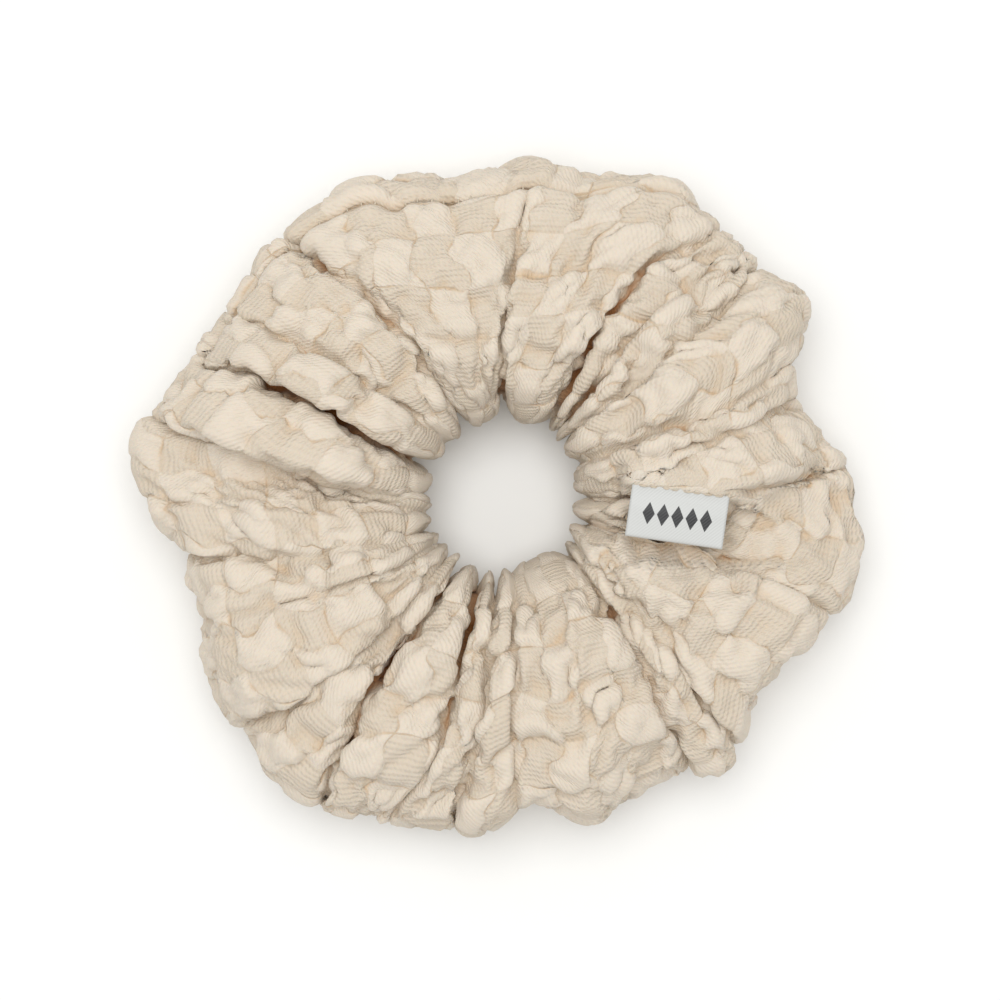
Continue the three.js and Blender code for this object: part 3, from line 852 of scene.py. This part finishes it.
def braided_elastic(colour):
    """Braided polyester over rubber: chalky ribs along its length, crossed by the braid's slant."""
    constants = {"Roughness": 0.8, "Sheen Weight": 0.2}
    material, tree, shader = new_material("braided_elastic", colour, constants)
    braid = node(tree, UV_MAP, uv_map="braid")
    # A rib every 1.7 mm of its width, and a crossing every 2 mm.
    ribs = node(tree, WAVE, 1, {"Vector": braid, "Scale": 180.0}, bands_direction="Y")
    slant = node(tree, WAVE, 1, {"Vector": braid, "Scale": 210.0}, bands_direction="DIAGONAL")
    height = node(tree, MATH, 0, {0: slant, 1: 0.5, 2: ribs}, operation="MULTIPLY_ADD")
    bump = node(tree, BUMP, 0, {"Height": height, "Strength": 0.8, "Distance": 0.25 * MM})
    tree.links.new(bump, shader.inputs["Normal"])
    # Painted shade: the braid is darker in the grooves of its slant.
    between = [c * 0.9 for c in colour]
    tone = node(tree, MIX, 2, {0: slant, 6: between, 7: colour}, data_type="RGBA")
    tree.links.new(tone, shader.inputs["Base Color"])
    return material


# The label's woven motif is a row of lozenges. One lozenge's points are LOZENGE_HALF to each side.
LOZENGE_STEP, LOZENGE_HALF = 2.8 * MM, 1.2 * MM
LOZENGE_SLOPE = 0.55  # half its width over half its height
MOTIF_HALF = 7 * MM  # of the row, each way from the label's middle
MOTIF_DOWN = 7.6 * MM  # from the ribbon's upper end in the seam


def woven_satin(colour, motif_colour):
    """White woven satin ribbon with a soft sheen and a woven motif: a row of plain lozenges."""
    constants = {"Roughness": 0.42, "Specular IOR Level": 0.5, "Sheen Weight": 0.25, "Sheen Roughness": 0.4}
    material, tree, shader = new_material("woven_satin_ribbon", colour, constants)
    ribbon = node(tree, UV_MAP, uv_map="ribbon")
    along, down = node(tree, XYZ, 0, {0: ribbon}).node.outputs[:2]
    # Weft floats lie on a slant, drawn every half a millimetre so that they show.
    floats = node(
        tree, WAVE, 1,
        {"Vector": ribbon, "Scale": 900.0, "Distortion": 0.6, "Detail": 2.0},
        bands_direction="DIAGONAL",
    )
    inside = node(tree, MATH, 0, {0: along}, operation="ABSOLUTE")
    inside = node(tree, MATH, 0, {0: inside, 1: MOTIF_HALF}, operation="LESS_THAN")
    across = node(tree, MATH, 0, {0: along, 1: LOZENGE_STEP / 2}, operation="PINGPONG")
    upright = node(tree, MATH, 0, {0: down, 1: MOTIF_DOWN}, operation="SUBTRACT")
    upright = node(tree, MATH, 0, {0: upright}, operation="ABSOLUTE")
    upright = node(tree, MATH, 0, {0: upright, 1: LOZENGE_SLOPE}, operation="MULTIPLY")
    reach = node(tree, MATH, 0, {0: across, 1: upright}, operation="ADD")
    lozenge = node(tree, MATH, 0, {0: reach, 1: LOZENGE_HALF}, operation="LESS_THAN")
    lozenge = node(tree, MATH, 0, {0: lozenge, 1: inside}, operation="MULTIPLY")
    # Painted shade: the ribbon is darker in the grooves between its weft floats.
    between = [c * 0.95 for c in colour]
    tone = node(tree, MIX, 2, {0: floats, 6: between, 7: colour}, data_type="RGBA")
    tone = node(tree, MIX, 2, {0: lozenge, 6: tone, 7: motif_colour}, data_type="RGBA")
    tree.links.new(tone, shader.inputs["Base Color"])
    height = node(tree, MATH, 0, {0: lozenge, 1: 0.8, 2: floats}, operation="MULTIPLY_ADD")
    bump = node(tree, BUMP, 0, {"Height": height, "Strength": 0.35, "Distance": 0.08 * MM})
    tree.links.new(bump, shader.inputs["Normal"])
    return material


def plain_paper(colour):
    """Seamless studio paper: matt, with a trace of tooth, a millimetre or so across."""
    constants = {"Roughness": 0.95, "Specular IOR Level": 0.1}
    material, tree, shader = new_material("studio_paper", colour, constants)
    place = node(tree, PLACE, 3)
    tooth = node(tree, NOISE, 0, {"Vector": place, "Scale": 900.0, "Detail": 2.0})
    bump = node(tree, BUMP, 0, {"Height": tooth, "Strength": 0.05, "Distance": 0.05 * MM})
    tree.links.new(bump, shader.inputs["Normal"])
    return material


# ---- threads and ribbons ----


def swept(path, across, up, profile):
    """A closed profile of (across, up) pairs carried along a path: quads, with its two ends capped.

    across and up are the profile's two directions at each of the path's points.
    """
    points = path[:, None] + profile[None, :, :1] * across[:, None] + profile[None, :, 1:] * up[:, None]
    count, sides = len(path), len(profile)
    faces = [tuple(reversed(f)) for f in grid_faces(count, sides, False).tolist()]
    faces.append(tuple(range(sides)))
    faces.append(tuple(reversed(range((count - 1) * sides, count * sides))))
    return points.reshape(-1, 3), faces


def thread_along(path, outwards, radius):
    """A round thread carried along a path that lies on a surface which faces outwards."""
    tangent = unit(np.gradient(path, axis=0))
    across = unit(np.cross(tangent, outwards))
    turn = TURN * np.arange(8) / 8
    circle = radius * np.stack([np.cos(turn), np.sin(turn)], axis=1)
    return swept(path, across, np.cross(across, tangent), circle)


def braid_profile(thickness, width):
    """A flat rounded section: cos and sin of a turn, squared off by powers of 0.5 and 0.35."""
    turn = TURN * np.arange(28) / 28
    c, s = np.cos(turn), np.sin(turn)
    return np.stack(
        [thickness / 2 * np.sign(c) * np.abs(c) ** 0.5, width / 2 * np.sign(s) * np.abs(s) ** 0.35], axis=1
    )


def label_path():
    """The folded ribbon's section as points of (down, out), and the length along it at each.

    From its lower end it runs under, turns through half a circle at the fold and runs back on top.
    """
    ends, half = 0.13 * MM, LABEL_THICK / 2 - 0.12 * MM
    turn = np.linspace(-math.pi / 2, math.pi / 2, 15)
    fold = np.stack([LABEL_DROP - half - 0.12 * MM + half * np.cos(turn), half * np.sin(turn)], axis=1)
    down = np.linspace(-TAIL, fold[0, 0], 40)[:-1]
    out = ends + (half - ends) * ramp(down, -0.5 * MM, 3 * MM)
    under = np.stack([down, -out], axis=1)
    path = np.concatenate([under, fold, under[::-1] * (1, -1)])
    return path, np.concatenate([[0], np.cumsum(np.linalg.norm(np.diff(path, axis=0), axis=1))])


def seat_on_cover(along):
    """A point on the cloth just above the label's sewn edge."""
    cover = bpy.data.objects["gathered_cover"]
    tree = BVHTree.FromObject(cover, bpy.context.evaluated_depsgraph_get())
    above = LABEL_AT + along * ALONG - 1.2 * MM * DOWN + 20 * MM * OUT
    hit = tree.ray_cast(Vector(above), Vector(-OUT))[0]
    return np.array(hit) + 0.05 * MM * OUT


def stitches(starts, ends, normals, radius, rise):
    """Stitches from starts to ends: each is a thread whose middle arches up by rise along its normal.

    A stitch at s from 0 to 1 is start + s (end - start) + rise sin(pi s) normal, thinner at its ends.
    """
    steps, sides = 7, 6
    share = np.linspace(0, 1, steps)[:, None]
    turn = TURN * np.arange(sides) / sides
    points, faces = [], []
    ring_faces = grid_faces(steps, sides, False).tolist()
    for start, end, normal in zip(starts, ends, normals):
        path = start + share * (end - start) + rise * np.sin(math.pi * share) * normal
        side = unit(np.cross(end - start, normal))
        thick = radius * np.sqrt(np.clip(1.1 - (2 * share - 1) ** 2, 0, 1))[:, :, None]
        ring = np.cos(turn)[None, :, None] * side + np.sin(turn)[None, :, None] * normal
        base = len(points) * steps * sides
        points.append(path[:, None] + thick * ring)
        faces += [tuple(base + i for i in reversed(face)) for face in ring_faces]
        faces.append(tuple(base + i for i in range(sides)))
        faces.append(tuple(base + i for i in reversed(range((steps - 1) * sides, steps * sides))))
    return np.concatenate(points).reshape(-1, 3), faces


# ---- sizes and colours a user can change ----


def colour_property(name, description, hex_colour):
    """A colour that a user can change, from its sRGB hex value."""
    return FloatVectorProperty(
        name=name, description=description, default=linear(hex_colour), min=0, max=1, subtype="COLOR"
    )


def length_property(name, description, default, low, high):
    """A length in metres that a user can change, within low and high."""
    return FloatProperty(
        name=name,
        description=description,
        default=default,
        min=low,
        max=high,
        subtype="DISTANCE",
        unit="LENGTH",
    )


class ScrunchieClothProperties(bpy.types.PropertyGroup):
    """The gathered cover and its stitching"""

    colour: colour_property("Cloth", "Colour of the puckered crepe", "#dbcfbe")
    # Painted shade: the colours painted between folds and deep in the creases stand in for their shade.
    shade: colour_property("Folds", "Colour of the crepe between folds", "#c99f66")
    deep: colour_property("Creases", "Colour of the crepe deep between folds", "#94560f")
    thread: colour_property("Thread", "Colour of the sewing thread", "#cdbfa9")
    pucker: FloatProperty(name="Pucker", description="Depth of the checks' pucker", default=1, min=0, max=2)
    stitch: length_property("Stitch", "Length of a stitch in the long seam", 2.4 * MM, MM, 6 * MM)
    thread_width: length_property("Thread width", "Diameter of the thread", 0.4 * MM, 0.2 * MM, MM)


class ScrunchieElasticProperties(bpy.types.PropertyGroup):
    """The elastic loop inside the cover"""

    colour: colour_property("Elastic", "Colour of the braid", "#efebe4")
    thickness: length_property("Thickness", "Thickness of the braid", 1.2 * MM, 0.5 * MM, 2 * MM)
    overlap: length_property("Overlap", "Length of the joined ends", 13 * MM, 6 * MM, 25 * MM)


class ScrunchieLabelProperties(bpy.types.PropertyGroup):
    """The folded label"""

    colour: colour_property("Ribbon", "Colour of the satin ribbon", "#c8c9c6")
    motif: colour_property("Motif", "Colour of the woven motif", "#1c1c1e")
    ply: length_property("Ply", "Thickness of the ribbon", 0.22 * MM, 0.1 * MM, 0.5 * MM)


class ScrunchieStageProperties(bpy.types.PropertyGroup):
    """Floor, lights and camera"""

    floor: colour_property("Floor", "Colour of the paper floor", "#f7f7f5")
    sky: FloatProperty(name="Sky", description="Strength of the even light", default=0.64, min=0, max=5)
    lamp: FloatProperty(
        name="Lamp", description="Power of the soft light", default=4.9, min=0, max=50, unit="POWER"
    )
    view_width: length_property("View width", "Width of the view at the cover's height", 0.2, 0.05, 1)


# ---- pieces ----

VIEW_MIDDLE = (1.4 * MM, 0.5 * MM)  # the place in plan that the camera looks down on
SOFTBOX = Vector((-0.04, 0.12, 0.9))  # where the soft light hangs, in metres; it faces the origin
THREAD_RADIUS = 0.2 * MM  # of the stitches on the elastic and the label


def seam_rows(cover):
    """The seam's upper and lower edge as rows of points, the normal along it, and the grid between."""
    grid = points_of(cover.data).reshape(-1, FINE_COLUMNS, 3)
    last = len(grid) - 1 - ALLOWANCE_ROWS
    inner = grid[ALLOWANCE_ROWS : last + 1]
    along = np.roll(inner[0], -1, axis=0) - np.roll(inner[0], 1, axis=0)
    return inner[0], inner[-1], unit(np.cross(along, inner[2] - inner[-3])), inner


class SCRUNCHIE_OT_stage(bpy.types.Operator):
    """Makes the paper floor, the soft light and the camera that looks straight down"""

    bl_idname = "scrunchie.stage"
    bl_label = "Stage"

    def execute(self, context):
        settings = context.scene.scrunchie_stage
        scene = context.scene
        scene.view_settings.view_transform = "Standard"
        paper = plain_paper(settings.floor)
        floor = new_mesh("paper_floor", square(3.0), [(0, 1, 2, 3)], paper, smooth=False)
        world = bpy.data.worlds.new("even_light")
        world.use_nodes = True
        background = world.node_tree.nodes["Background"]
        background.inputs["Color"].default_value = (1, 1, 1, 1)
        background.inputs["Strength"].default_value = settings.sky
        scene.world = world
        lamp = bpy.data.lights.new("overhead_softbox", "AREA")
        lamp.shape, lamp.size, lamp.energy = "DISK", 0.7, settings.lamp
        softbox = bpy.data.objects.new("overhead_softbox", lamp)
        softbox.location = SOFTBOX
        softbox.rotation_euler = (-SOFTBOX).to_track_quat("-Z", "Y").to_euler()
        scene.collection.objects.link(softbox)
        camera = bpy.data.cameras.new("overhead_camera")
        camera.lens, camera.sensor_width, camera.clip_start = 100, 36, 0.01
        view = bpy.data.objects.new("overhead_camera", camera)
        distance = settings.view_width * camera.lens / camera.sensor_width
        view.location = (*VIEW_MIDDLE, distance + CROWN.mean() / 2)
        scene.collection.objects.link(view)
        scene.camera = view
        return {"FINISHED"}


class SCRUNCHIE_OT_cover(bpy.types.Operator):
    """Makes the gathered cover: one strip of puckered crepe sewn into a tube and gathered on the elastic"""

    bl_idname = "scrunchie.cover"
    bl_label = "Gathered cover"

    def execute(self, context):
        settings = context.scene.scrunchie_cloth
        grid, painted_shade, along, across = cover_surface(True, settings.pucker)
        whole = with_allowances(grid)
        rows = len(whole)
        cover = new_mesh("gathered_cover", whole, grid_faces(rows, FINE_COLUMNS, False))
        shape = (rows, FINE_COLUMNS)

        def with_edges(values):
            """Values of the grid, and along its allowances what they are at the seam."""
            first = np.repeat(values[:1], ALLOWANCE_ROWS, axis=0)
            return np.concatenate([first, values, values[:1], first])

        u = np.broadcast_to(np.arange(FINE_COLUMNS) / FINE_COLUMNS, shape)
        v = np.broadcast_to(np.linspace(0, 1, rows)[:, None], shape)
        across = np.concatenate([across, across[:1] + CELLS_SECTION])
        edges = np.arange(1, ALLOWANCE_ROWS + 1)[:, None] * 0.15  # of a check, from row to row
        across = np.concatenate([across[:1] - edges[::-1], across, across[-1:] + edges])
        lengths = np.stack([u * STRIP[1], v * STRIP[0]], axis=-1)
        strip_map(cover, "cloth", lengths, FINE_COLUMNS, STRIP[1])
        strip_map(cover, "checks", np.stack([with_edges(along), across], axis=-1), FINE_COLUMNS, CELLS_ROUND)
        # The painted shade of the dents and valleys, for the cloth's material to read.
        point_attribute(cover, "painted_shade", with_edges(painted_shade))
        cover.data.materials.append(puckered_crepe(settings.colour, settings.shade, settings.deep))
        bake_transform(cover)
        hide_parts("cover_left", "cover_right")
        return {"FINISHED"}


class SCRUNCHIE_OT_stitching(bpy.types.Operator):
    """Makes the long seam's stitches and the closing seam's thread"""

    bl_idname = "scrunchie.stitching"
    bl_label = "Seam stitching"

    def execute(self, context):
        settings = context.scene.scrunchie_cloth
        thread = spun_polyester(settings.thread)
        upper, lower, normal, inner = seam_rows(bpy.data.objects["gathered_cover"])
        line = (upper + lower) / 2 + 0.05 * MM * normal
        count = int(round(STRIP[1] / settings.stitch))
        at = (np.arange(count) + 0.5) / count * FINE_COLUMNS
        middle = periodic(line, at)
        side = unit(lower - upper)[at.astype(int)]
        outwards = normal[at.astype(int)]
        reach = 0.75 * MM
        points, faces = stitches(
            middle - reach * side, middle + reach * side, outwards, settings.thread_width / 2, 0.05 * MM
        )
        long_seam = new_mesh("long_seam_stitches", points, faces, thread)
        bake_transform(long_seam)
        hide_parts("long_seam_thread_left", "long_seam_thread_right")

        column = inner[3:-3:2, 0]
        inwards = -normals_of(inner)[3:-3:2, 0]
        points, faces = thread_along(column + 0.9 * MM * inwards, inwards, settings.thread_width / 2)
        closing = new_mesh("closing_seam_stitching", points, faces, thread)
        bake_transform(closing)
        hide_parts("closing_seam_thread")
        return {"FINISHED"}


class SCRUNCHIE_OT_elastic(bpy.types.Operator):
    """Makes the braided elastic loop, with its two ends overlapped and tacked"""

    bl_idname = "scrunchie.elastic"
    bl_label = "Elastic loop"

    def execute(self, context):
        settings = context.scene.scrunchie_elastic
        half_lap = settings.overlap / ELASTIC_RADIUS / 2
        closing = math.radians(CLOSING_ANGLE)
        angle = np.linspace(closing - half_lap, closing + TURN + half_lap, 200)
        lap = settings.thickness + 0.2 * MM
        tucked = 1 - ramp(angle - angle[0], 0.6, 1.6)
        radius = ELASTIC_RADIUS - lap * tucked
        outwards = np.stack([np.cos(angle), np.sin(angle), 0 * angle], axis=1)
        path = outwards * radius[:, None] + (*MIDDLE, ELASTIC_HEIGHT)
        up = np.broadcast_to([0.0, 0.0, 1.0], outwards.shape)
        points, faces = swept(path, outwards, up, braid_profile(settings.thickness, 2 * ELASTIC_HALF[1]))
        loop = new_mesh("elastic_loop", points, faces, braided_elastic(settings.colour))
        sides = len(points) // len(path)
        corners = corner_points(loop)
        along = corners // sides * (TURN * ELASTIC_RADIUS / len(path))
        write_map(loop, "braid", np.stack([along, points[corners, 2]], axis=1))
        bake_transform(loop)
        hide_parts("elastic_right", "elastic_left_upper", "elastic_left_lower")

        zigs = 9
        share = np.linspace(-0.5, 0.5, 12 * zigs + 1)
        bearing = closing + share * (settings.overlap - 3 * MM) / ELASTIC_RADIUS
        rise = (ELASTIC_HALF[1] - MM) * np.arcsin(np.sin(share * zigs * math.pi)) * 2 / math.pi
        tack_radius = ELASTIC_RADIUS + settings.thickness / 2 + 0.25 * MM
        path = np.stack([np.cos(bearing), np.sin(bearing), 0 * bearing], axis=1) * tack_radius
        outwards = unit(path)
        path = path + np.append(MIDDLE, ELASTIC_HEIGHT) + rise[:, None] * (0, 0, 1)
        points, faces = thread_along(path, outwards, THREAD_RADIUS)
        thread = bpy.data.materials["spun_polyester_thread"]
        tack = new_mesh("elastic_join_stitching", points, faces, thread)
        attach(tack, "left_side")
        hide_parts("elastic_join_thread")
        return {"FINISHED"}


class SCRUNCHIE_OT_label(bpy.types.Operator):
    """Makes the folded satin label and the stitches that hold it in its seam"""

    bl_idname = "scrunchie.label"
    bl_label = "Label"

    def execute(self, context):
        settings = context.scene.scrunchie_label
        across = np.linspace(-1, 1, 41)
        path, length = label_path()
        # It bellies a little across, more on its upper ply, and one corner lifts.
        upper = ramp(length, length[-1] * 0.45, length[-1] * 0.55)
        belly = (0.1 + 0.3 * upper) * ramp(path[:, 0], 0, 4 * MM)
        x = across[None, :] * LABEL_HALF
        out = path[:, 1:] + belly[:, None] * MM * (1 - across**2)[None, :]
        out = out + 0.35 * MM * ramp(path[:, :1], 3 * MM, LABEL_DROP) * np.maximum(across, 0)[None, :] ** 3

        def spread(values):
            """Values along a row or a column of the ribbon, given to all its points."""
            return np.broadcast_to(values, out.shape)[..., None]

        points = LABEL_AT + spread(x) * ALONG + spread(path[:, :1]) * DOWN + out[..., None] * OUT
        rows, columns = out.shape
        row, column = np.arange(rows - 1)[:, None], np.arange(columns - 1)
        first = row * columns + column
        faces = np.stack([first, first + columns, first + columns + 1, first + 1], axis=-1).reshape(-1, 4)
        ribbon = new_mesh("folded_label", points, faces, woven_satin(settings.colour, settings.motif))
        uv = np.concatenate([spread(x), spread((length[-1] - length)[:, None])], axis=-1)
        write_map(ribbon, "ribbon", uv.reshape(-1, 2)[corner_points(ribbon)])
        solidify = ribbon.modifiers.new("ply", "SOLIDIFY")
        solidify.thickness, solidify.offset = settings.ply, 0
        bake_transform(ribbon)
        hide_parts("label_sewn_ends", "label_tab")

        count, gap = 8, 0.5 * MM
        step = 2 * (LABEL_HALF - MM) / count
        at = -LABEL_HALF + MM + step * np.arange(count)
        starts = np.array([seat_on_cover(a + gap / 2) for a in at])
        ends = np.array([seat_on_cover(a + step - gap / 2) for a in at])
        normals = np.broadcast_to(OUT, starts.shape)
        points, faces = stitches(starts, ends, normals, THREAD_RADIUS, 0.2 * MM)
        thread = bpy.data.materials["spun_polyester_thread"]
        sewing = new_mesh("label_stitching", points, faces, thread)
        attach(sewing, "right_side")
        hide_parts("label_thread")
        return {"FINISHED"}


class SCRUNCHIE_PT_panel(bpy.types.Panel):
    """Lists the scrunchie's sizes and colours, and the pieces to make"""

    bl_label = "Scrunchie"
    bl_idname = "SCRUNCHIE_PT_panel"
    bl_space_type = "VIEW_3D"
    bl_region_type = "UI"
    bl_category = "Scrunchie"

    def draw(self, context):
        for group, _ in GROUPS:
            box = self.layout.box()
            settings = getattr(context.scene, group)
            for name in settings.__annotations__:
                box.prop(settings, name)
        for operator in OPERATORS:
            self.layout.operator(operator.bl_idname)


GROUPS = [
    ("scrunchie_stage", ScrunchieStageProperties),
    ("scrunchie_cloth", ScrunchieClothProperties),
    ("scrunchie_elastic", ScrunchieElasticProperties),
    ("scrunchie_label", ScrunchieLabelProperties),
]
OPERATORS = [
    SCRUNCHIE_OT_stage,
    SCRUNCHIE_OT_cover,
    SCRUNCHIE_OT_stitching,
    SCRUNCHIE_OT_elastic,
    SCRUNCHIE_OT_label,
]


def register():
    """Registers the settings, the operators and the panel."""
    for name, group in GROUPS:
        bpy.utils.register_class(group)
        setattr(bpy.types.Scene, name, PointerProperty(type=group))
    for each in [*OPERATORS, SCRUNCHIE_PT_panel]:
        bpy.utils.register_class(each)


def unregister():
    """Takes away what register added."""
    for each in reversed([*OPERATORS, SCRUNCHIE_PT_panel]):
        bpy.utils.unregister_class(each)
    for name, group in reversed(GROUPS):
        delattr(bpy.types.Scene, name)
        bpy.utils.unregister_class(group)


def main():
    register()
    bpy.ops.scrunchie.stage()
    bpy.ops.scrunchie.cover()
    bpy.ops.scrunchie.stitching()
    bpy.ops.scrunchie.elastic()
    bpy.ops.scrunchie.label()


if __name__ == "__main__":
    main()
